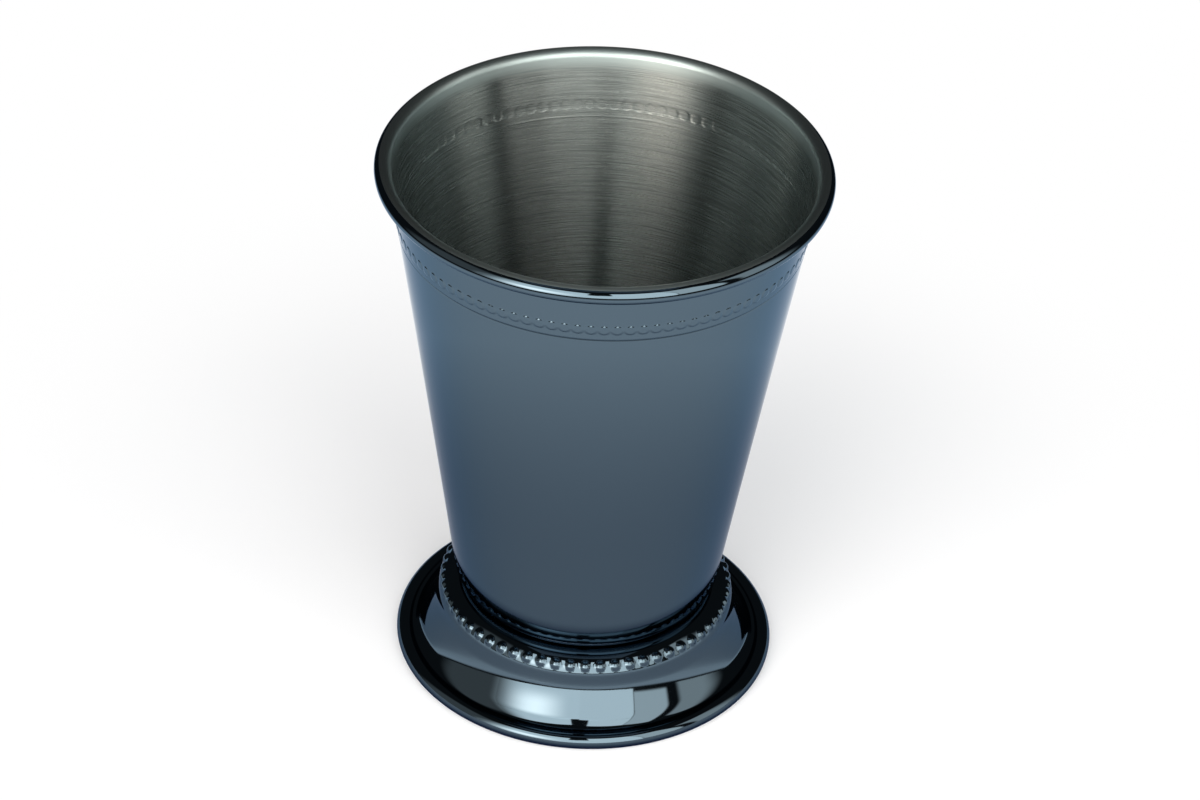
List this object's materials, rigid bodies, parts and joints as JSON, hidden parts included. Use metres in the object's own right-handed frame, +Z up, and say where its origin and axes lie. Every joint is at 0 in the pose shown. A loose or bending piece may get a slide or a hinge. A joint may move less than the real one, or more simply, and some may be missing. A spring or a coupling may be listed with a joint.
{
  "type": "julep cup",
  "caption": "Tapered metal drinking cup with a curled rim, a pressed bead band and a spun bell foot with a beaded shoulder and curled edge.",
  "frame": {"origin": "on the cup's axis, in the plane that the foot rests on", "axes": "+Z up along the cup's axis towards the rim; +X and +Y level, the cup is round about +Z"},
  "size_m": [0.09, 0.09, 0.1164],
  "materials": {
    "black_nickel_plate": "polished black nickel plating, dark blue-grey and mirror bright",
    "brushed_steel": "bare stainless steel, brushed round the axis",
    "solder": "tin solder, plated over in black nickel together with the cup"
  },
  "bodies": {
    "root": {"cup_shell": "black_nickel_plate", "foot_shell": "black_nickel_plate", "solder_ring": "solder"}
  },
  "joints": []
}
